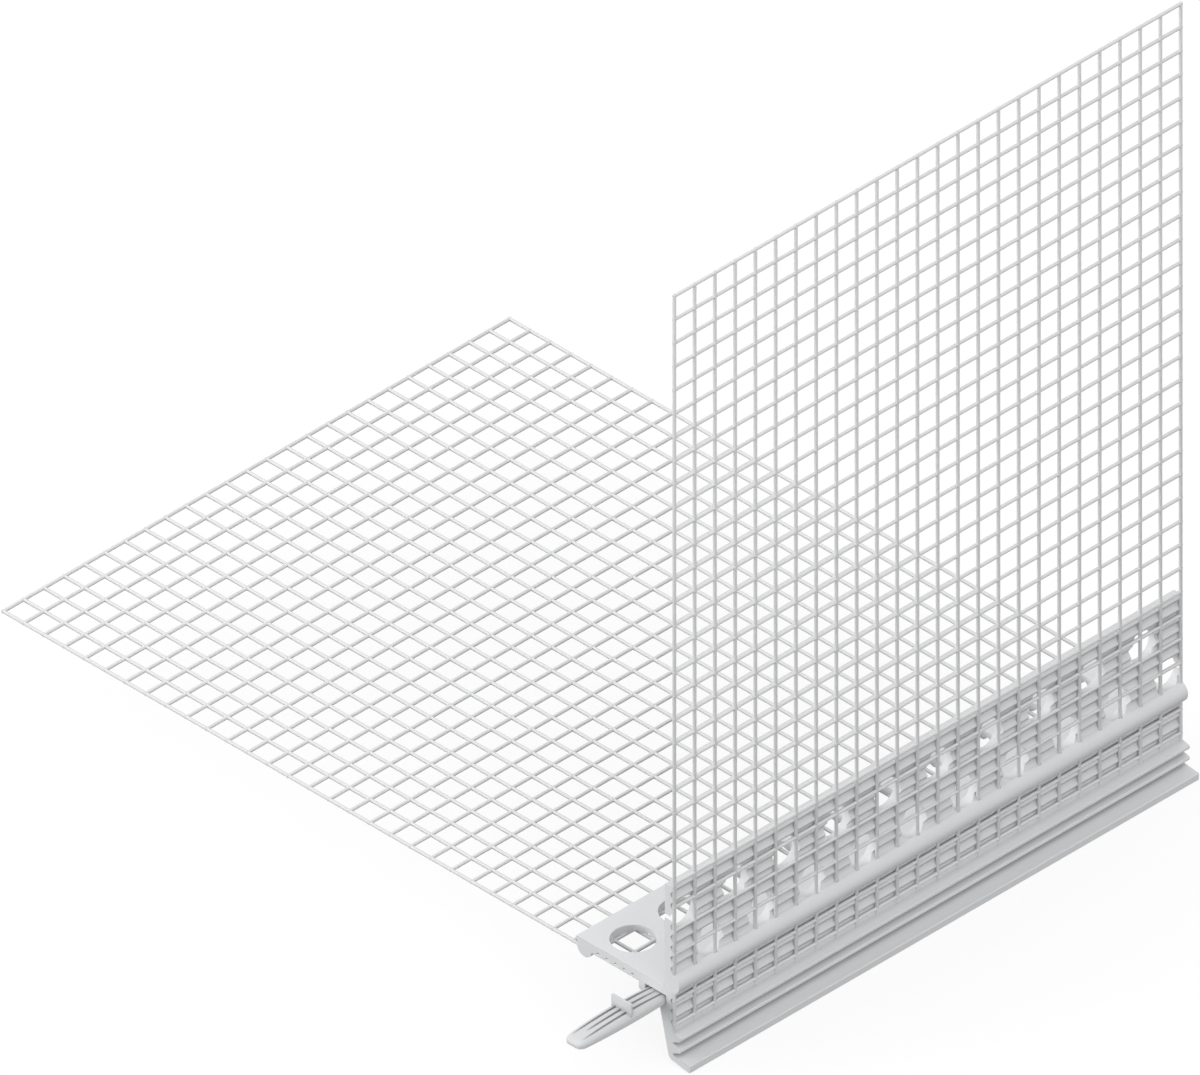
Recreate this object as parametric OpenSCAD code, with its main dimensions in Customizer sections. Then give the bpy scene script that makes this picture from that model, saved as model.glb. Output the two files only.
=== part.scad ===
// Plaster drip bead for the edge where a rendered facade turns under into a soffit.
// One extruded plastic section carries a glass-fibre mesh up the facade and a second one back
// under the soffit. A loose plug connector sits in the channel below and joins two lengths.
// X runs along the length, Y goes back into the building and Z is up. The origin is half way
// along, in the inner corner where the insulation board's front meets its underside.

/* [Stock] */
// Length of the extruded section and width of both meshes
stock_l = 125; // [60:5:250]

/* [Wall flange] */
// Height of the wall flange above the board's underside
wall_h = 21.8; // [18:0.05:30]
// Plain thickness of the wall flange behind its ribs
wall_core = 1.3; // [1:0.05:2.5]
// Distance from one rib valley to the next
rib_pitch = 2.26; // [1.8:0.005:3]
// Depth of the rib valleys
rib_h = 0.7; // [0.3:0.05:0.9]
// Width of the flat crests that the facade mesh is bonded to
rib_crest = 0.1; // [0.05:0.05:0.6]
// Height of the first rib valley above the nose
rib_z = 4.3; // [4:0.02:5]

/* [Soffit flange] */
// Depth of the soffit flange, from the board's front to the back of its rim
soffit_w = 21.9; // [20:0.05:40]
// Thickness of the soffit flange
soffit_t = 1.85; // [1.2:0.05:3]
// Diameter of the round bead under its back edge
bead_d = 3.6; // [2.6:0.05:4]
// How far the rim stands out behind the bead
rim_out = 0.35; // [0.2:0.05:0.6]
// Thickness of the rim
rim_t = 0.95; // [0.9:0.05:1.15]
// Radius of the rim's edges
rim_r = 0.4; // [0.1:0.05:0.45]
// Number of grooves in its underside
groove_count = 5; // [1:1:5]
// Distance from one groove to the next
groove_pitch = 2.12; // [1.8:0.02:2.2]
// Distance from the hook lip to the middle of the first groove
groove_start = 1.55; // [1:0.05:2]
// Width of a groove at its mouth
groove_w = 1.7; // [0.4:0.05:1.75]
// Depth of a groove
groove_depth = 0.75; // [0.2:0.05:0.9]

/* [Nose] */
// Radius of the half-round nose that covers the corner
nose_r = 2.15; // [1.6:0.05:2.3]
// Height of the nose's centre above the board's underside
nose_z = 1.3; // [1.2:0.05:1.8]
// How far the nose's centre lies behind the rib crests
nose_inset = 0.65; // [0:0.05:0.8]

/* [Plug channel] */
// Width of the channel that takes the plug connector
channel_w = 5.3; // [4:0.05:6]
// How far the channel reaches forward into the foot of the wall flange
channel_in = 0.35; // [0:0.05:0.6]
// Depth of the channel, from its roof to the ledge that carries the plug
channel_d = 1.85; // [1.4:0.05:2.6]
// Width of the ledge on the drip leg
ledge_w = 1.85; // [1:0.05:2.2]
// Thickness of the hook lip behind the channel
lip_t = 1.4; // [1:0.05:2]
// Radius of the hook lip's lower edges
lip_r = 0.4; // [0.1:0.05:0.45]

/* [Drip leg] */
// Depth of the upper fin's top root below the board's underside
fin_z = 8.95; // [8.5:0.05:11]
// Number of plaster fins
fin_count = 2; // [1:1:4]
// How far a fin stands out from the rib crests
fin_out = 1.9; // [1:0.05:3]
// Height of a fin at its root
fin_root_t = 1.95; // [1.2:0.05:2.6]
// Thickness of a fin at its rounded tip
fin_tip_t = 0.45; // [0.3:0.05:0.7]
// How far a fin's top falls from its root to its tip
fin_fall = 0.45; // [0.1:0.05:0.7]
// Height of the valley floor between one fin and the next
fin_gap = 0.4; // [0.2:0.05:1]
// How far the drip lip stands out from the rib crests
drip_out = 4.15; // [3:0.05:7]
// Height of the drip lip's front face
drip_face = 1.5; // [1.2:0.05:2]
// How far the drip lip's top falls towards its front
drip_top_fall = 0.5; // [0.3:0.05:1]
// How far the drip lip's underside falls towards its front
drip_fall = 0.9; // [0.3:0.05:1.1]
// Radius of the drip lip's front edges
drip_edge_r = 0.2; // [0.05:0.05:0.4]
// How far the leg's heel lies behind the rib crests
heel_in = 0.95; // [0.6:0.05:1.5]
// Radius of the heel
heel_r = 1.1; // [0.3:0.05:1.3]

/* [Holes] */
// Diameter of the plaster holes in the wall flange
wall_hole_d = 6.3; // [4:0.1:7]
// Distance from one wall hole to the next in its row
wall_hole_pitch = 12.5; // [9:0.1:16]
// Height of the lower row of wall holes above the board's underside
wall_hole_z = 6.05; // [5.5:0.05:6.5]
// Distance from the lower row up to the upper row
wall_row_gap = 9; // [8:0.05:10]
// Diameter of the holes in the soffit flange
soffit_hole_d = 8.3; // [5:0.1:8.4]
// Distance from one soffit hole to the next
soffit_hole_pitch = 11.9; // [10:0.1:16]
// Distance from the section's near end to the first soffit hole
soffit_hole_x = 6.2; // [5:0.1:8]
// Distance from the board's front back to the soffit holes
soffit_hole_y = 13.95; // [12:0.05:14]

/* [Mesh] */
// Thickness of a mesh strand
strand = 0.68; // [0.5:0.02:0.9]
// Distance from one strand to the next
cell = 5; // [4:0.1:8]
// Height of the facade mesh's upper edge above the board's underside
facade_reach = 147.9; // [80:0.1:200]
// Distance from the board's front back to the soffit mesh's far edge
soffit_reach = 163.1; // [80:0.05:200]
// How far the bonded strands run on past the last cross strand
strand_tail = 0.9; // [0.3:0.05:1.5]

/* [Plug connector] */
// Length of the plug over both tips
plug_l = 24.6; // [20:0.2:40]
// Distance from the section's near end out to the stop collar
plug_out = 8.2; // [6:0.1:9]
// Clearance between the plug and the channel
plug_clear = 0.05; // [0.02:0.01:0.2]
// Length over which each half of the plug tapers
plug_taper = 11; // [5:0.1:12]
// Thickness of the plug at its tips
plug_tip_t = 0.75; // [0.5:0.05:1.2]
// Width of the plug at its tips
plug_tip_w = 3.7; // [2.8:0.05:4]
// Radius of the plug's corners, seen from above
plug_corner_r = 1.2; // [0.4:0.05:1.3]
// Radius of the plug's long upper edges
plug_edge_r = 0.7; // [0.2:0.05:0.8]
// Distance from one of the three plug grooves to the next
plug_groove_pitch = 1.3; // [0.8:0.02:1.3]
// Width of a plug groove
plug_groove_w = 0.55; // [0.2:0.05:0.6]
// Depth of a plug groove in the full thickness of the plug
plug_groove_d = 0.45; // [0.2:0.05:0.6]
// Thickness of the stop collar
collar_t = 0.4; // [0.3:0.05:1]
// How far the stop collar stands in from each side of the plug
collar_in = 0.1; // [0.05:0.05:0.6]
// How far the stop collar stands up above the plug
collar_up = 2.3; // [0.5:0.05:2.4]
// How far the stop collar reaches down into the plug
collar_down = 0.9; // [0.5:0.05:1.2]

/* [Hidden] */
// Smoothness of round walls
$fn = 48;
// How far a cutter reaches past what it cuts
past = 1;
// How far a punch runs on past its flange, so that it leaves the nose or the bead whole
punch_past = 0.05;
// Steps in the rounded corner of an outline
arc_steps = 6;
// Steps in the curved taper of the plug
taper_steps = 8;

// Planes and centres of the section
valley_y = -wall_core;
crest_y = valley_y - rib_h;
ledge_z = -soffit_t - channel_d;
channel_back = channel_w - channel_in;
lip_back = channel_back + lip_t;
nose_y = crest_y + nose_inset;
nose_top = nose_z + nose_r;
nose_foot = nose_z - nose_r;
bead_y = soffit_w - rim_out - bead_d / 2;
bead_front = bead_y - bead_d / 2;
fin_pitch = fin_root_t + fin_gap;
drip_root_z = -fin_z - fin_count * fin_pitch;
drip_y = crest_y - drip_out;
drip_top_z = drip_root_z - drip_top_fall;
drip_foot_z = drip_top_z - drip_face;
heel_z = drip_foot_z + drip_fall;

// Columns of both meshes, spread evenly over the stock
col_count = round((stock_l - strand) / cell) + 1;
col_pitch = (stock_l - strand) / (col_count - 1);
function col_x(i) = (i - (col_count - 1) / 2) * col_pitch;

// Cross strands of a mesh, from its outer edge inwards to a stop, none of them in the buried zone
function cross_strands(reach, stop, zone_lo, zone_hi) =
    let (
        first = reach - strand / 2,
        count = floor((first - strand / 2 - strand_tail - stop) / cell)
    )
    [
        for (k = [0 : count])
            let (p = first - k * cell)
                if (p - strand / 2 > zone_hi || p + strand / 2 < zone_lo) p
    ];
facade_rows = cross_strands(facade_reach, -fin_z, nose_foot, nose_top);
soffit_rows = cross_strands(soffit_reach, lip_back, bead_front, soffit_w);

// Points that round the corner p between its neighbours a and b
function unit(v) = v / norm(v);
function arc_points(a, p, b, r) =
    let (
        u = unit(a - p),
        v = unit(b - p),
        half = acos(u * v) / 2,
        centre = p + unit(u + v) * r / sin(half),
        start = p + u * r / tan(half) - centre,
        turn = u[0] * v[1] - u[1] * v[0] > 0 ? -1 : 1
    )
    [
        for (i = [0 : arc_steps])
            let (t = turn * (180 - 2 * half) * i / arc_steps)
                centre + [start[0] * cos(t) - start[1] * sin(t), start[0] * sin(t) + start[1] * cos(t)]
    ];

// An outline from its corners, each given as [across, up, radius]
function outline(c) =
    let (n = len(c), p = [for (q = c) [q[0], q[1]]])
    [
        for (i = [0 : n - 1])
            for (q = c[i][2] > 0 ? arc_points(p[(i + n - 1) % n], p[i], p[(i + 1) % n], c[i][2]) : [p[i]])
                q
    ];

// The ribbed front: sharp valleys between narrow crests, cut off square at the top of the flange
rib_flank = (rib_pitch - rib_crest) / 2;
function front_y(z) =
    let (off = z - rib_z - rib_pitch * round((z - rib_z) / rib_pitch))
    valley_y - rib_h * min(1, abs(off) / rib_flank);
rib_corners = [
    for (k = [ceil((wall_h - rib_z) / rib_pitch) : -1 : floor((-fin_z - rib_z) / rib_pitch)])
        for (step = [1, 0, -1])
            let (z = rib_z + k * rib_pitch + step * rib_flank)
                if (z < wall_h && z > -fin_z) [front_y(z), z, 0]
];

// A plaster fin, from its top root round the tip and back to the leg
function fin_corners(z) =
    let (tip_y = crest_y - fin_out, tip_z = z - fin_fall, r = fin_tip_t * 0.4)
    [
        [crest_y, z, 0],
        [tip_y, tip_z, r],
        [tip_y, tip_z - fin_tip_t, r],
        [crest_y, z - fin_root_t, 0]
    ];

// The grooves under the soffit flange, from the hook lip backwards
groove_corners = [
    for (i = [0 : groove_count - 1])
        let (y = lip_back + groove_start + i * groove_pitch)
            each [
                [y - groove_w / 2, -soffit_t, 0],
                [y, groove_depth - soffit_t, 0],
                [y + groove_w / 2, -soffit_t, 0]
            ]
];

// The section in Y and Z, from the top of the wall flange down its front and back up the inside
section_corners = [
    [0, wall_h, 0],
    [front_y(wall_h), wall_h, 0],
    each rib_corners,
    for (i = [0 : fin_count - 1]) each fin_corners(-fin_z - i * fin_pitch),
    [crest_y, drip_root_z, 0],
    [drip_y, drip_top_z, drip_edge_r],
    [drip_y, drip_foot_z, drip_edge_r],
    [crest_y + heel_in, heel_z, heel_r],
    [ledge_w - channel_in, ledge_z, 0],
    [-channel_in, ledge_z, 0],
    [-channel_in, -soffit_t, 0],
    [channel_back, -soffit_t, 0],
    [channel_back, ledge_z, lip_r],
    [lip_back, ledge_z, lip_r],
    [lip_back, -soffit_t, 0],
    each groove_corners,
    [bead_y, -soffit_t, 0],
    [bead_y, -rim_t, 0],
    [soffit_w, -rim_t, rim_r],
    [soffit_w, 0, rim_r],
    [0, 0, 0]
];

// The whole section. The nose is cut off flush with the back of the wall flange.
module section() {
    polygon(outline(section_corners));
    intersection() {
        translate([nose_y, nose_z])
            circle(nose_r);
        translate([nose_y - nose_r - past, nose_foot - past])
            square([nose_r - nose_y + past, 2 * nose_r + 2 * past]);
    }
    translate([bead_y, -bead_d / 2])
        circle(bead_d / 2);
}

// The two staggered rows of plaster holes through the wall flange
module wall_holes() {
    count = floor(stock_l / wall_hole_pitch);
    for (i = [0 : count - 1], row = [0, 1])
        translate([
            (i - (count - 1) / 2 + (row == 0 ? 0.25 : -0.25)) * wall_hole_pitch,
            past,
            wall_hole_z + row * wall_row_gap
        ])
            rotate([90, 0, 0])
                cylinder(d = wall_hole_d, h = past - crest_y + punch_past);
}

module soffit_holes() {
    room = stock_l - soffit_hole_x - soffit_hole_d / 2;
    for (i = [0 : floor(room / soffit_hole_pitch)])
        translate([
            soffit_hole_x - stock_l / 2 + i * soffit_hole_pitch,
            soffit_hole_y,
            -soffit_t - punch_past
        ])
            cylinder(d = soffit_hole_d, h = soffit_t + punch_past + past);
}

// Where the strands of the facade mesh run through the nose, and those of the soffit mesh
// through the bead. The nose and the bead are closed over the two outermost strands.
module strand_passages() {
    for (i = [1 : col_count - 2]) {
        translate([col_x(i) - strand / 2, crest_y - strand / 2, nose_foot - past])
            cube([strand, strand / 2, 2 * nose_r + 2 * past]);
        translate([col_x(i) - strand / 2, bead_front - past, -soffit_t - strand / 2])
            cube([strand, bead_d + 2 * past, strand / 2]);
    }
}

module profile() {
    color("gainsboro")
        difference() {
            rotate([90, 0, 90])
                linear_extrude(stock_l, center = true)
                    section();
            wall_holes();
            soffit_holes();
            strand_passages();
        }
}

// A flat grid of strands fused where they cross: a plate with a window cut in every cell. The
// strands run on above and below it by the tails. Where a gap is given, the two outermost are
// left out between its heights.
module mesh_panel(rows, tail_hi, tail_lo, thickness, gap) {
    half = strand / 2;
    top = rows[0] + half;
    foot = rows[len(rows) - 1] - half;
    spans = [
        if (tail_hi > 0) [top, top + tail_hi + past],
        for (j = [0 : len(rows) - 2]) [rows[j + 1] + half, rows[j] - half],
        if (tail_lo > 0) [foot - tail_lo - past, foot]
    ];
    linear_extrude(thickness)
        difference() {
            translate([-stock_l / 2, foot - tail_lo])
                square([stock_l, tail_lo + top - foot + tail_hi]);
            for (s = spans, i = [0 : col_count - 2])
                translate([col_x(i) + half, s[0]])
                    square([col_pitch - strand, s[1] - s[0]]);
            for (i = len(gap) > 0 ? [0, col_count - 1] : [])
                translate([col_x(i) - strand, gap[0]])
                    square([2 * strand, gap[1] - gap[0]]);
        }
}

// One of the three panels of a mesh. The part that stands free past the flange's edge is halved
// into the first two. The last is the strip bonded on the flange, which has its strands half sunk
// in, so that only their outer half is here. Neighbours meet strand end to strand end.
function panel_t(part) = part < 2 ? strand : strand / 2;
module mesh_part(rows, flange_edge, part, gap) {
    free = len([for (p = rows) if (p - strand / 2 > flange_edge) p]);
    starts = [0, ceil(free / 2), free, len(rows)];
    function between(i) = rows[i - 1] - rows[i] - strand;
    half_way = between(starts[1]) / 2;
    mesh_panel(
        [for (i = [starts[part] : starts[part + 1] - 1]) rows[i]],
        [0, half_way, between(free)][part],
        [half_way, 0, strand_tail][part],
        panel_t(part),
        part < 2 ? [] : gap
    );
}

module facade_mesh(part) {
    color("whitesmoke")
        translate([0, crest_y - strand / 2 + panel_t(part), 0])
            rotate([90, 0, 0])
                mesh_part(facade_rows, wall_h, part, [nose_foot, nose_top]);
}

module soffit_mesh(part) {
    color("whitesmoke")
        translate([0, 0, -soffit_t - strand / 2])
            mesh_part(soffit_rows, soffit_w, part, [bead_front, soffit_reach]);
}

// The plug connector: a flat bar that tapers to both tips, its top grooved, with a stop collar
module plug_connector() {
    w = channel_w - 2 * plug_clear;
    h = channel_d - plug_clear;
    taper = min(plug_taper, plug_l / 2 - collar_t);
    flat = plug_l / 2 - taper;
    function top_z(t) = h - (h - plug_tip_t) * t * t;
    rise = [for (i = [0 : taper_steps]) [flat + taper * i / taper_steps, top_z(i / taper_steps)]];
    side = [
        [-plug_l / 2, 0],
        [plug_l / 2, 0],
        for (i = [taper_steps : -1 : 0]) rise[i],
        for (p = rise) [-p[0], p[1]]
    ];
    plan = [
        for (s = [-1, 1])
            each [
                [-s * plug_l / 2, s * plug_tip_w / 2, plug_corner_r],
                [-s * plug_l / 2, -s * plug_tip_w / 2, plug_corner_r],
                [-s * flat, -s * w / 2, 0],
                [s * flat, -s * w / 2, 0]
            ]
    ];
    color("gainsboro")
        translate([-stock_l / 2 - plug_out, channel_w / 2 - channel_in, ledge_z]) {
            difference() {
                intersection() {
                    rotate([90, 0, 0])
                        linear_extrude(w + 2 * past, center = true)
                            polygon(side);
                    linear_extrude(h)
                        polygon(outline(plan));
                    rotate([90, 0, 90])
                        linear_extrude(plug_l, center = true)
                            polygon(outline([
                                [-w / 2, 0, 0],
                                [w / 2, 0, 0],
                                [w / 2, h, plug_edge_r],
                                [-w / 2, h, plug_edge_r]
                            ]));
                }
                for (i = [-1 : 1])
                    translate([0, i * plug_groove_pitch, h])
                        cube([plug_l, plug_groove_w, 2 * plug_groove_d], center = true);
            }
            translate([-collar_t / 2, collar_in - w / 2, h - collar_down])
                cube([collar_t, w - 2 * collar_in, collar_down + collar_up]);
        }
}

profile();
facade_mesh(0);  // facade_mesh_upper
facade_mesh(1);  // facade_mesh_middle
facade_mesh(2);  // facade_mesh_lower
soffit_mesh(0);  // soffit_mesh_rear
soffit_mesh(1);  // soffit_mesh_middle
soffit_mesh(2);  // soffit_mesh_front
plug_connector();
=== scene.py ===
import math

import bmesh
import bpy
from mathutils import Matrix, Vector


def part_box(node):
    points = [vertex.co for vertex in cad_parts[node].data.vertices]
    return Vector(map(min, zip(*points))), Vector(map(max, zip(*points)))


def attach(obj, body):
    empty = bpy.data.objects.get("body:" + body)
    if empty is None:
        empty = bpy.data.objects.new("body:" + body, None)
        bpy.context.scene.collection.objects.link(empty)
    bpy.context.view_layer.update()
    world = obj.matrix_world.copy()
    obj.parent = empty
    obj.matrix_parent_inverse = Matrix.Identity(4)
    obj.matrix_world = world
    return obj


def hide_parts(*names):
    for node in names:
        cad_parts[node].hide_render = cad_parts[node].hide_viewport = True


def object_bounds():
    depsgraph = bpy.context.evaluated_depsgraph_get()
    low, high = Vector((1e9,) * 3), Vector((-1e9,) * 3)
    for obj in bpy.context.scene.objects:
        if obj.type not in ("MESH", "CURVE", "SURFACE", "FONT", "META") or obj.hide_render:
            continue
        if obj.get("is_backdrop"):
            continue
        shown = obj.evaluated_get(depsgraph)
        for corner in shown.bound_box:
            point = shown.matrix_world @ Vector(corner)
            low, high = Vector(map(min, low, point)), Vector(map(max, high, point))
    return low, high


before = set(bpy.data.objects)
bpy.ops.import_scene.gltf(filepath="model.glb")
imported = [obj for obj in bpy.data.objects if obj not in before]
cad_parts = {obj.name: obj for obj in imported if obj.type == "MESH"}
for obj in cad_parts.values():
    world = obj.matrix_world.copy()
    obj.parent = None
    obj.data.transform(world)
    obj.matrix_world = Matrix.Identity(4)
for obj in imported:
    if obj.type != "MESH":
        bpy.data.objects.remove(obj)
cad_low, cad_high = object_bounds()
MM = 0.001

# The view is a true isometric one with no perspective, from above, looking along the stock from
# its plug end and in at the facade side. A picture PHOTO_W pixels wide shows PHOTO_SCALE pixels
# for each millimetre of height.
PHOTO_W = 1200
PHOTO_SCALE = 4.7026
ISO_TILT = math.asin(1 / math.sqrt(3))
VIEW_CENTRE = Vector((24.92, 103.33, 0)) * MM
VIEW_DISTANCE = 0.8
VIEW_CLIP = (0.01, 10)
bpy.ops.object.camera_add(
    location=VIEW_CENTRE + Vector((-1, -1, 1)).normalized() * VIEW_DISTANCE,
    rotation=(math.pi / 2 - ISO_TILT, 0, -math.pi / 4),
)
camera = bpy.context.object
camera.data.type = "ORTHO"
camera.data.ortho_scale = PHOTO_W * math.cos(ISO_TILT) / PHOTO_SCALE * MM
camera.data.clip_start, camera.data.clip_end = VIEW_CLIP
bpy.context.scene.camera = camera
bpy.context.scene.view_settings.view_transform = "Standard"

# The studio is a white dome of even light with two wide soft lamps. The stronger one stands low
# past the plug end, a little behind the wall, and lights the cut end and the meshes. The weaker
# one lights the facade side.
DOME_LIGHT = 1.0
LAMP_SPREAD = math.radians(35)
LAMPS = (
    ("end_lamp", 1.45, (-0.74, 0.62, 0.26)),
    ("front_lamp", 0.65, (-0.3, -0.93, 0.21)),
)


def seen_directly(nodes, links):
    """A value that is 1 for what the camera sees, also in a reflection or through glass."""
    path = nodes.new("ShaderNodeLightPath")
    seen = path.outputs["Is Camera Ray"]
    for ray in ("Is Glossy Ray", "Is Transmission Ray"):
        either = nodes.new("ShaderNodeMath")
        either.operation = "MAXIMUM"
        links.new(seen, either.inputs[0])
        links.new(path.outputs[ray], either.inputs[1])
        seen = either.outputs[0]
    return seen


world = bpy.data.worlds.new("studio_dome")
bpy.context.scene.world = world
world.use_nodes = True
nodes, links = world.node_tree.nodes, world.node_tree.links
nodes.clear()
dome = nodes.new("ShaderNodeBackground")
dome.inputs["Strength"].default_value = DOME_LIGHT
white = nodes.new("ShaderNodeBackground")
for background in (dome, white):
    background.inputs["Color"].default_value = (1, 1, 1, 1)
either = nodes.new("ShaderNodeMixShader")
output = nodes.new("ShaderNodeOutputWorld")
links.new(seen_directly(nodes, links), either.inputs["Fac"])
links.new(dome.outputs[0], either.inputs[1])
links.new(white.outputs[0], either.inputs[2])
links.new(either.outputs[0], output.inputs["Surface"])

for name, strength, towards in LAMPS:
    bpy.ops.object.light_add(type="SUN", location=towards)
    lamp = bpy.context.object
    lamp.name = name
    lamp.data.energy = strength
    lamp.data.angle = LAMP_SPREAD
    lamp.rotation_euler = Vector(towards).to_track_quat("Z", "Y").to_euler()

# The floor is a plain white table under the drip lip. It keeps a faint shadow of the part, and
# throws little light back up, as in the picture the undersides are dark.
FLOOR_SIZE = 6
FLOOR_BOUNCE = 0.05
SHADOW_KEPT = 0.15
bpy.ops.mesh.primitive_plane_add(size=FLOOR_SIZE, location=(0, 0, cad_low.z))
floor = bpy.context.object
floor.name = "floor"
floor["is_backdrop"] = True
paper = bpy.data.materials.new("white_table")
paper.use_nodes = True
nodes, links = paper.node_tree.nodes, paper.node_tree.links
nodes.clear()
bounce = nodes.new("ShaderNodeBsdfDiffuse")
bounce.inputs["Color"].default_value = (FLOOR_BOUNCE, FLOOR_BOUNCE, FLOOR_BOUNCE, 1)
shaded = nodes.new("ShaderNodeBsdfDiffuse")
shaded.inputs["Color"].default_value = (1, 1, 1, 1)
plain = nodes.new("ShaderNodeEmission")
plain.inputs["Color"].default_value = (1, 1, 1, 1)
softened = nodes.new("ShaderNodeMixShader")
softened.inputs["Fac"].default_value = SHADOW_KEPT
either = nodes.new("ShaderNodeMixShader")
output = nodes.new("ShaderNodeOutputMaterial")
links.new(plain.outputs[0], softened.inputs[1])
links.new(shaded.outputs[0], softened.inputs[2])
links.new(seen_directly(nodes, links), either.inputs["Fac"])
links.new(bounce.outputs[0], either.inputs[1])
links.new(softened.outputs[0], either.inputs[2])
links.new(either.outputs[0], output.inputs["Surface"])
floor.data.materials.append(paper)

# The profile is one length of extruded hard plastic, in a cool off-white. The die leaves fine
# streaks along it, and the holes are punched after it has set. Its narrow grooves and corners get
# painted shade: an occlusion node darkens the colour there, standing in for the shade in them.
PROFILE_COLOUR = (0.682, 0.688, 0.697)
PROFILE_ROUGHNESS = 0.58
PROFILE_STREAKS = (40 * MM, 0.4 * MM, 0.4 * MM)
PROFILE_STREAK_HEIGHT = 0.01 * MM
PLASTIC_GLOSS = 0.15
STREAK_DETAIL = 3
STREAK_TONES = (0.975, 1.02)
STREAK_STRENGTH = 0.5
ROUGHNESS_SPREAD = 0.06
# Painted shade in the nooks: how far the occlusion reaches, how dark it paints, and its rays.
NOOK_SHADE_REACH = 1.2 * MM
PAINTED_NOOK_SHADE = 0.52
NOOK_SHADE_RAYS = 12


def plastic(name, colour, roughness, streaks, height):
    """A matt plastic with painted shade in its nooks, and faint streaks of the given size and
    height.
    """
    material = bpy.data.materials.new(name)
    material.use_nodes = True
    nodes, links = material.node_tree.nodes, material.node_tree.links
    shader = nodes["Principled BSDF"]
    shader.inputs["Specular IOR Level"].default_value = PLASTIC_GLOSS
    place = nodes.new("ShaderNodeTexCoord")
    stretch = nodes.new("ShaderNodeMapping")
    stretch.inputs["Scale"].default_value = [1 / size for size in streaks]
    grain = nodes.new("ShaderNodeTexNoise")
    grain.inputs["Scale"].default_value = 1
    grain.inputs["Detail"].default_value = STREAK_DETAIL
    links.new(place.outputs["Object"], stretch.inputs["Vector"])
    links.new(stretch.outputs["Vector"], grain.inputs["Vector"])
    tint = nodes.new("ShaderNodeValToRGB")
    for stop, share in zip(tint.color_ramp.elements, STREAK_TONES):
        stop.color = [share * c for c in colour] + [1]
    links.new(grain.outputs["Fac"], tint.inputs["Fac"])
    # Painted shade: the base colour is darkened where the surface is hemmed in by grooves and
    # corners.
    nook_occlusion = nodes.new("ShaderNodeAmbientOcclusion")
    nook_occlusion.only_local = True
    nook_occlusion.samples = NOOK_SHADE_RAYS
    nook_occlusion.inputs["Distance"].default_value = NOOK_SHADE_REACH
    painted_shade = nodes.new("ShaderNodeMapRange")
    painted_shade.inputs["To Min"].default_value = PAINTED_NOOK_SHADE
    painted_shade.inputs["To Max"].default_value = 1
    shaded_base = nodes.new("ShaderNodeVectorMath")
    shaded_base.operation = "SCALE"
    links.new(nook_occlusion.outputs["AO"], painted_shade.inputs["Value"])
    links.new(tint.outputs["Color"], shaded_base.inputs[0])
    links.new(painted_shade.outputs["Result"], shaded_base.inputs["Scale"])
    links.new(shaded_base.outputs["Vector"], shader.inputs["Base Color"])
    shine = nodes.new("ShaderNodeMapRange")
    shine.inputs["To Min"].default_value = roughness - ROUGHNESS_SPREAD
    shine.inputs["To Max"].default_value = roughness + ROUGHNESS_SPREAD
    links.new(grain.outputs["Fac"], shine.inputs["Value"])
    links.new(shine.outputs["Result"], shader.inputs["Roughness"])
    relief = nodes.new("ShaderNodeBump")
    relief.inputs["Strength"].default_value = STREAK_STRENGTH
    relief.inputs["Distance"].default_value = height
    links.new(grain.outputs["Fac"], relief.inputs["Height"])
    links.new(relief.outputs["Normal"], shader.inputs["Normal"])
    return material


def finish(piece, material):
    """Gives a piece its one material."""
    piece.data.materials.clear()
    piece.data.materials.append(material)


extruded = plastic(
    "extruded_plastic",
    PROFILE_COLOUR,
    PROFILE_ROUGHNESS,
    PROFILE_STREAKS,
    PROFILE_STREAK_HEIGHT,
)
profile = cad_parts["profile"]
finish(profile, extruded)

# The facade mesh is glass-fibre scrim: round yarns 5 mm apart in a stiff white coat, fused where
# they cross. It lies in one plane, half sunk in the ribs that it is welded to, stands on above
# the flange and runs down through the nose to the upper fin.
CELL = 5 * MM
YARN_SIDES = 16
YARN_END_ROUND = 0.12 * MM
YARN_END_INSET = 0.02 * MM
YARN_COLOUR = (0.69, 0.693, 0.696)
YARN_ROUGHNESS = 0.6
YARN_TWISTS = 90
YARN_PLIES = 3
TWIST_TONES = (0.96, 1.02)
TWIST_UNEVENNESS = 0.4
TWIST_STRENGTH = 0.3
TWIST_HEIGHT = 0.03 * MM
KNOT_SPREAD = 1.15
KNOT_THICK = 1.03
SMOOTH_BELOW = math.radians(40)
NOSE_FOOT = -0.85 * MM
NOSE_TOP = 3.45 * MM
INTO_PLASTIC = 0.5 * MM
ROWS_ABOVE_NOSE = 29
ROWS_BELOW_NOSE = 2


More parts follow.
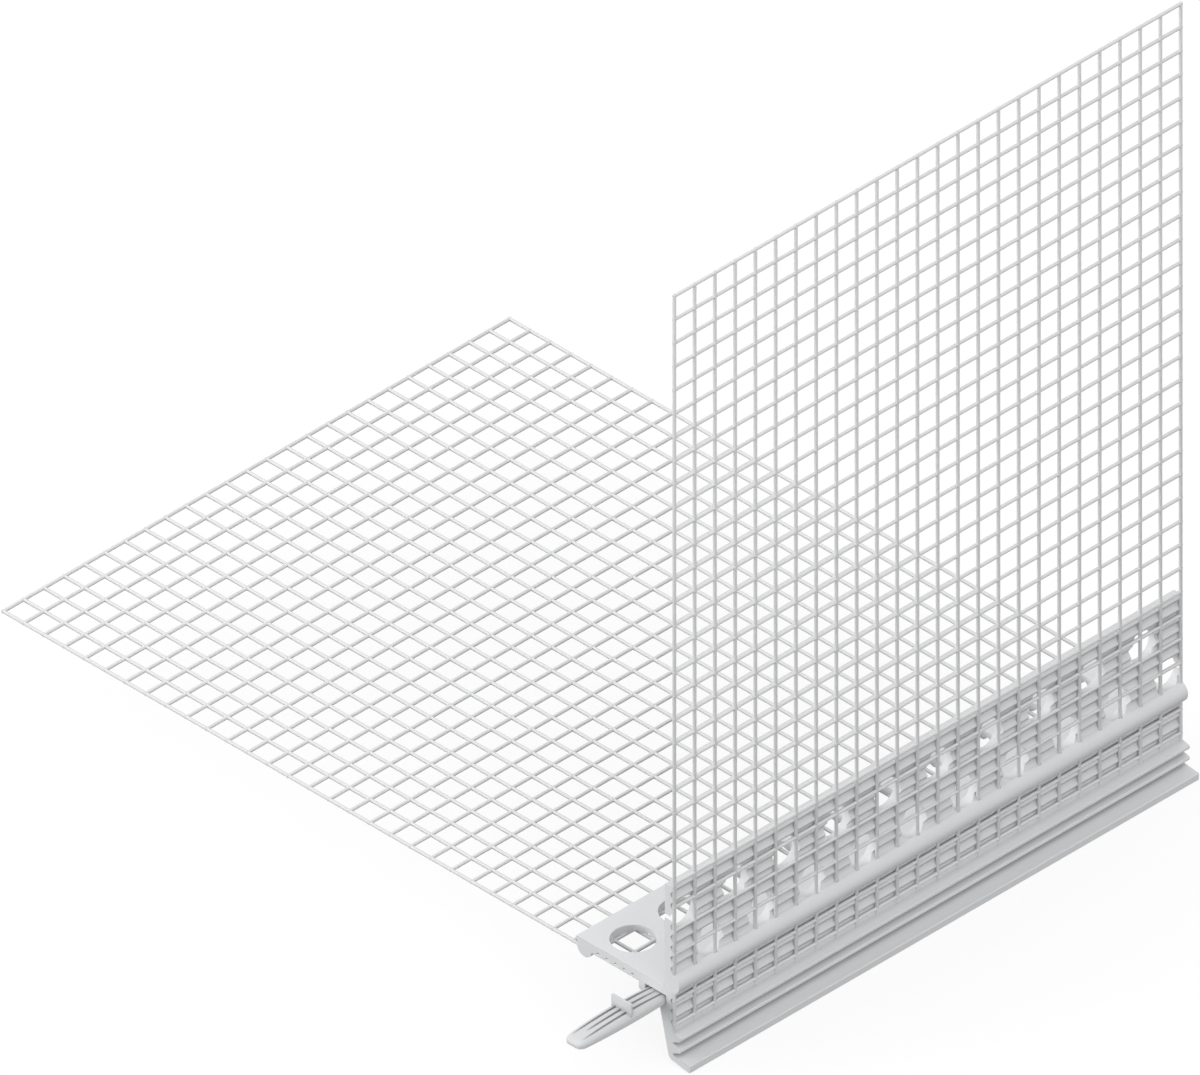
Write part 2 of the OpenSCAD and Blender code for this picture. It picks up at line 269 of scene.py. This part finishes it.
def coated_yarn(name):
    """The yarns' white coat, with the faint twist of the plies under it."""
    material = bpy.data.materials.new(name)
    material.use_nodes = True
    nodes, links = material.node_tree.nodes, material.node_tree.links
    shader = nodes["Principled BSDF"]
    shader.inputs["Roughness"].default_value = YARN_ROUGHNESS
    shader.inputs["Specular IOR Level"].default_value = PLASTIC_GLOSS
    around = nodes.new("ShaderNodeUVMap")
    turns = nodes.new("ShaderNodeMapping")
    turns.inputs["Scale"].default_value = (YARN_PLIES, YARN_TWISTS, 1)
    twist = nodes.new("ShaderNodeTexWave")
    twist.wave_type = "BANDS"
    twist.bands_direction = "DIAGONAL"
    twist.inputs["Scale"].default_value = 1
    twist.inputs["Distortion"].default_value = TWIST_UNEVENNESS
    links.new(around.outputs["UV"], turns.inputs["Vector"])
    links.new(turns.outputs["Vector"], twist.inputs["Vector"])
    tint = nodes.new("ShaderNodeValToRGB")
    for stop, share in zip(tint.color_ramp.elements, TWIST_TONES):
        stop.color = [share * c for c in YARN_COLOUR] + [1]
    links.new(twist.outputs["Fac"], tint.inputs["Fac"])
    links.new(tint.outputs["Color"], shader.inputs["Base Color"])
    relief = nodes.new("ShaderNodeBump")
    relief.inputs["Strength"].default_value = TWIST_STRENGTH
    relief.inputs["Distance"].default_value = TWIST_HEIGHT
    links.new(twist.outputs["Fac"], relief.inputs["Height"])
    links.new(relief.outputs["Normal"], shader.inputs["Normal"])
    return material


def select(pieces):
    """Selects these pieces alone and makes the first of them active."""
    bpy.ops.object.select_all(action="DESELECT")
    for piece in pieces:
        piece.select_set(True)
    bpy.context.view_layer.objects.active = pieces[0]


def repeat(piece, step, count):
    """Repeats a piece along a step."""
    array = piece.modifiers.new("repeat", "ARRAY")
    array.use_relative_offset = False
    array.use_constant_offset = True
    array.constant_offset_displace = step
    array.count = count
    select([piece])
    bpy.ops.object.modifier_apply(modifier=array.name)


def yarn_row(start, end, thick, step, count):
    """A row of like yarns: one round bar from start to end, its cut ends rounded, repeated."""
    along = end - start
    bpy.ops.object.select_all(action="DESELECT")
    bpy.ops.mesh.primitive_cylinder_add(
        vertices=YARN_SIDES,
        radius=thick / 2,
        depth=along.length,
        location=(start + end) / 2,
        rotation=along.to_track_quat("Z", "Y").to_euler(),
    )
    yarn = bpy.context.object
    bpy.ops.object.mode_set(mode="EDIT")
    bpy.ops.mesh.select_all(action="DESELECT")
    mesh = bmesh.from_edit_mesh(yarn.data)
    for edge in mesh.edges:
        heights = [v.co.z for v in edge.verts]
        edge.select_set(abs(heights[0] - heights[1]) < thick / 4)
    bmesh.update_edit_mesh(yarn.data)
    bpy.ops.mesh.bevel(offset=YARN_END_ROUND, segments=2)
    bpy.ops.object.mode_set(mode="OBJECT")
    bpy.ops.object.transform_apply(location=True, rotation=True, scale=True)
    repeat(yarn, step, count)
    return yarn


def knots(corner, thick, flat_axis, steps, counts):
    """The swellings of the coat where yarns cross: one flat bead, repeated both ways."""
    bpy.ops.object.select_all(action="DESELECT")
    size = [thick / 2 * (KNOT_THICK if axis == flat_axis else KNOT_SPREAD) for axis in range(3)]
    bpy.ops.mesh.primitive_uv_sphere_add(
        segments=8, ring_count=6, radius=1, location=corner, scale=size
    )
    bead = bpy.context.object
    bpy.ops.object.transform_apply(location=True, rotation=True, scale=True)
    for step, count in zip(steps, counts):
        repeat(bead, step, count)
    return bead


def join(name, parts, smooth_below):
    """One piece out of its parts, with its round faces shaded smooth."""
    select(parts)
    bpy.ops.object.join()
    piece = bpy.context.object
    piece.name = name
    bpy.ops.object.shade_smooth_by_angle(angle=smooth_below)
    return piece


def scrim(name, parts, replaced):
    """One mesh out of its yarns and knots, riding on the body in place of its CAD panels."""
    piece = join(name, parts, SMOOTH_BELOW)
    finish(piece, coat)
    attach(piece, "root")
    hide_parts(*replaced)


coat = coated_yarn("coated_glass_yarn")
facade_nodes = ("facade_mesh_upper", "facade_mesh_middle", "facade_mesh_lower")
facade_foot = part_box("facade_mesh_lower")[0].z
free_low, free_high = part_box("facade_mesh_upper")
yarn = free_high.y - free_low.y
crest_y = (free_low.y + free_high.y) / 2
last_column = round((free_high.x - free_low.x - yarn) / CELL)
column_step = Vector(((free_high.x - free_low.x - yarn) / last_column, 0, 0))
first_x = free_low.x + yarn / 2
row_start = Vector((free_low.x + YARN_END_INSET, crest_y, free_high.z - yarn / 2))
row_end = Vector((free_high.x - YARN_END_INSET, crest_y, free_high.z - yarn / 2))
row_step = Vector((0, 0, -CELL))
foot = Vector((first_x, crest_y, facade_foot))
head = Vector((first_x, crest_y, free_high.z))
under_nose = Vector((first_x, crest_y, NOSE_FOOT + INTO_PLASTIC))
over_nose = Vector((first_x, crest_y, NOSE_TOP - INTO_PLASTIC))
# The two edge yarns stop short inside the nose, as they would lie bare on its cut ends. The row
# that lies inside the nose is left out.
inner_columns = (column_step, last_column - 1)
edge_columns = (column_step * last_column, 2)
parts = [
    yarn_row(foot + column_step, head + column_step, yarn, *inner_columns),
    yarn_row(foot, under_nose, yarn, *edge_columns),
    yarn_row(over_nose, head, yarn, *edge_columns),
]
for first, count in ((0, ROWS_ABOVE_NOSE), (ROWS_ABOVE_NOSE + 1, ROWS_BELOW_NOSE)):
    down = row_step * first
    parts.append(yarn_row(row_start + down, row_end + down, yarn, row_step, count))
    corner = Vector((first_x, crest_y, row_start.z)) + down
    steps, counts = (column_step, row_step), (last_column + 1, count)
    parts.append(knots(corner, yarn, 1, steps, counts))
scrim("facade_mesh", parts, facade_nodes)

# The soffit mesh is a second width of the same scrim. It is welded under the soffit flange, half
# sunk in, and runs back through the bead and on behind the flange.
BEAD_FRONT = 17.95 * MM
BEAD_BACK = 21.55 * MM
SOFFIT_ROWS = 32
soffit_nodes = ("soffit_mesh_rear", "soffit_mesh_middle", "soffit_mesh_front")
soffit_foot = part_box("soffit_mesh_front")[0].y
free_low, free_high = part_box("soffit_mesh_rear")
flange_z = (free_low.z + free_high.z) / 2
row_start = Vector((free_low.x + YARN_END_INSET, free_high.y - yarn / 2, flange_z))
row_end = Vector((free_high.x - YARN_END_INSET, free_high.y - yarn / 2, flange_z))
row_step = Vector((0, -CELL, 0))
foot = Vector((first_x, soffit_foot, flange_z))
head = Vector((first_x, free_high.y, flange_z))
into_bead = Vector((first_x, BEAD_FRONT + INTO_PLASTIC, flange_z))
out_of_bead = Vector((first_x, BEAD_BACK - INTO_PLASTIC, flange_z))
corner = Vector((first_x, row_start.y, flange_z))
steps, counts = (column_step, row_step), (last_column + 1, SOFFIT_ROWS)
parts = [
    yarn_row(foot + column_step, head + column_step, yarn, *inner_columns),
    yarn_row(foot, into_bead, yarn, *edge_columns),
    yarn_row(out_of_bead, head, yarn, *edge_columns),
    yarn_row(row_start, row_end, yarn, row_step, SOFFIT_ROWS),
    knots(corner, yarn, 2, steps, counts),
]
scrim("soffit_mesh", parts, soffit_nodes)

# The two fins of the drip leg have thick tips with rounded edges. The solid's fins are thinner
# there, so each has a strip laid along under it that fills it out.
FIN_TOP = -8.95 * MM
FIN_PITCH = 2.35 * MM
FIN_COUNT = 2
FIN_ACROSS = (-3.92 * MM, -1.9 * MM)
FIN_TIP_BELOW = (0.46 * MM, 1.17 * MM)
FIN_ROOT_BELOW = (0.9 * MM, 2.0 * MM)
FIN_TIP_ROUND = 0.3 * MM
FIN_END_INSET = 0.01 * MM


def box(centre, size):
    """A box of the given size, left in edit mode to be shaped."""
    bpy.ops.object.select_all(action="DESELECT")
    bpy.ops.mesh.primitive_cube_add(size=1, location=centre, scale=size)
    piece = bpy.context.object
    bpy.ops.object.transform_apply(location=True, rotation=True, scale=True)
    bpy.ops.object.mode_set(mode="EDIT")
    return piece


def pick_points(piece, wanted):
    """Selects the wanted points alone, which a rule picks by their place."""
    bpy.ops.mesh.select_mode(type="VERT")
    bpy.ops.mesh.select_all(action="DESELECT")
    mesh = bmesh.from_edit_mesh(piece.data)
    for v in mesh.verts:
        v.select_set(wanted(v.co))
    bmesh.update_edit_mesh(piece.data)


def round_edges(piece, wanted, radius, segments):
    """Rounds the wanted edges, which a rule picks by their two ends and their faces' tilts."""
    bpy.ops.mesh.select_mode(type="EDGE")
    bpy.ops.mesh.select_all(action="DESELECT")
    mesh = bmesh.from_edit_mesh(piece.data)
    mesh.normal_update()
    for edge in mesh.edges:
        tilts = [face.normal.z for face in edge.link_faces]
        edge.select_set(wanted(*(v.co for v in edge.verts), tilts))
    bmesh.update_edit_mesh(piece.data)
    bpy.ops.mesh.bevel(offset=radius, segments=segments)


low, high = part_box("profile")
fin_low = Vector((low.x + FIN_END_INSET, FIN_ACROSS[0], FIN_TOP - FIN_TIP_BELOW[1]))
fin_high = Vector((high.x - FIN_END_INSET, FIN_ACROSS[1], FIN_TOP - FIN_TIP_BELOW[0]))
fin_centre = (fin_low + fin_high) / 2
half_length = (fin_high.x - fin_low.x) / 2
fins = box(fin_centre, fin_high - fin_low)
pick_points(fins, lambda at: at.y > fin_centre.y and at.z < fin_centre.z)
bpy.ops.transform.translate(value=(0, 0, FIN_TIP_BELOW[1] - FIN_ROOT_BELOW[1]))
pick_points(fins, lambda at: at.y > fin_centre.y and at.z > fin_centre.z)
bpy.ops.transform.translate(value=(0, 0, FIN_TIP_BELOW[0] - FIN_ROOT_BELOW[0]))
round_edges(
    fins,
    lambda a, b, tilts: max(a.y, b.y) < fin_centre.y and abs(a.x - b.x) > half_length,
    FIN_TIP_ROUND,
    segments=5,
)
bpy.ops.object.mode_set(mode="OBJECT")
repeat(fins, Vector((0, 0, -FIN_PITCH)), FIN_COUNT)
fins.name = "fin_tips"
bpy.ops.object.shade_smooth_by_angle(angle=SMOOTH_BELOW)
finish(fins, extruded)
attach(fins, "root")

# The plug connector is moulded from the same plastic, a shade smoother than the profile. It is a
# flat bar that thins and narrows in one soft curve to both tips, with rounded shoulders, three
# grooves that run out along its top and a thin collar across its middle.
PLUG_COLOUR = (0.61, 0.615, 0.623)
PLUG_ROUGHNESS = 0.5
PLUG_SPECKS = (0.6 * MM, 0.6 * MM, 0.6 * MM)
PLUG_SPECK_HEIGHT = 0.004 * MM
PLUG_THICK = 1.82 * MM
PLUG_TIP_THINNER = 0.4
PLUG_TIP_NARROWER = 0.19
PLUG_SLICES = 36
PLUG_CORNER = 1.45 * MM
PLUG_SHOULDER = 1.15 * MM
PLUG_SMOOTH_BELOW = math.radians(35)
PLACE_DIGITS = 7
LEVEL_WITHIN = 0.1 * MM
GROOVES = ((-1.3 * MM, 11.4 * MM), (0, 9.1 * MM), (1.3 * MM, 11.4 * MM))
GROOVE_WIDE = 0.55 * MM
GROOVE_DEEP = 0.5 * MM
GROOVE_ROUND = GROOVE_WIDE / 3
GROOVE_TIP_NARROWER = 0.4
GROOVE_TIP_LIFT = 1.1
COLLAR_THICK = 0.4 * MM
COLLAR_INSET = 0.1 * MM
COLLAR_ABOVE_FOOT = 0.9 * MM
COLLAR_BELOW_TOP = 0.15 * MM
COLLAR_CORNER = 0.3 * MM
COLLAR_EDGE = 0.1 * MM


def slices(piece, middle_x, length):
    """Cuts a long piece across into slices, and gives all the places along it that have points."""
    for cut in range(1, PLUG_SLICES):
        bpy.ops.mesh.select_all(action="SELECT")
        x = middle_x + length * (cut / PLUG_SLICES - 0.5)
        bpy.ops.mesh.bisect(plane_co=(x, 0, 0), plane_no=(1, 0, 0))
    mesh = bmesh.from_edit_mesh(piece.data)
    return sorted({round(v.co.x, PLACE_DIGITS) for v in mesh.verts})


def towards_tip(x):
    """How far a place along the plug is towards a tip: 0 in the middle, rising to 1 at both."""
    return (2 * (x - centre.x) / size.x) ** 2


low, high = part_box("plug_connector")
middle = (low + high) / 2
size = Vector((high.x - low.x, high.y - low.y, PLUG_THICK))
centre = Vector((middle.x, middle.y, low.z + PLUG_THICK / 2))
plug = box(centre, size)
round_edges(plug, lambda a, b, tilts: abs(a.z - b.z) > LEVEL_WITHIN, PLUG_CORNER, segments=10)
round_edges(
    plug,
    lambda a, b, tilts: round(max(tilts)) == 1 and round(min(tilts)) == 0,
    PLUG_SHOULDER,
    segments=8,
)
for x in slices(plug, centre.x, size.x):
    pick_points(plug, lambda at: round(at.x, PLACE_DIGITS) == x)
    narrower = 1 - PLUG_TIP_NARROWER * towards_tip(x)
    thinner = 1 - PLUG_TIP_THINNER * towards_tip(x)
    bpy.ops.transform.resize(
        value=(1, narrower, thinner), center_override=(x, centre.y, low.z)
    )
bpy.ops.object.mode_set(mode="OBJECT")

# Each groove's cutter has a foot that follows the plug's falling top and leaves it at both ends.
for across, reach in GROOVES:
    top = Vector((centre.x, centre.y + across, low.z + PLUG_THICK))
    cutter = box(top, (2 * reach, GROOVE_WIDE, 2 * GROOVE_DEEP))
    round_edges(
        cutter,
        lambda a, b, tilts: max(a.z, b.z) < top.z and abs(a.x - b.x) > reach,
        GROOVE_ROUND,
        segments=3,
    )
    for x in slices(cutter, top.x, 2 * reach):
        pick_points(cutter, lambda at: round(at.x, PLACE_DIGITS) == x and at.z < top.z)
        out = abs(x - top.x) / reach
        narrower = 1 - GROOVE_TIP_NARROWER * out**2
        shallower = 1 - GROOVE_TIP_LIFT * out**3
        bpy.ops.transform.resize(
            value=(1, narrower, shallower), center_override=(x, top.y, top.z)
        )
        fall = PLUG_THICK * PLUG_TIP_THINNER * towards_tip(x)
        bpy.ops.transform.translate(value=(0, 0, -fall))
    bpy.ops.object.mode_set(mode="OBJECT")
    groove = plug.modifiers.new("groove", "BOOLEAN")
    groove.operation = "DIFFERENCE"
    groove.solver = "EXACT"
    groove.object = cutter
    select([plug])
    bpy.ops.object.modifier_apply(modifier=groove.name)
    bpy.data.objects.remove(cutter)

collar_foot = low.z + COLLAR_ABOVE_FOOT
collar_top = high.z - COLLAR_BELOW_TOP
collar_centre = Vector((middle.x, middle.y, (collar_foot + collar_top) / 2))
collar_size = (COLLAR_THICK, size.y - 2 * COLLAR_INSET, collar_top - collar_foot)
collar = box(collar_centre, collar_size)
round_edges(
    collar,
    lambda a, b, tilts: min(a.z, b.z) > collar_centre.z and abs(a.y - b.y) < LEVEL_WITHIN,
    COLLAR_CORNER,
    segments=4,
)
round_edges(collar, lambda a, b, tilts: abs(a.x - b.x) < LEVEL_WITHIN, COLLAR_EDGE, segments=2)
bpy.ops.object.mode_set(mode="OBJECT")
plug = join("plug", [plug, collar], PLUG_SMOOTH_BELOW)
moulded = plastic(
    "moulded_plastic",
    PLUG_COLOUR,
    PLUG_ROUGHNESS,
    PLUG_SPECKS,
    PLUG_SPECK_HEIGHT,
)
finish(plug, moulded)
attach(plug, "root")
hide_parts("plug_connector")

low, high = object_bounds()
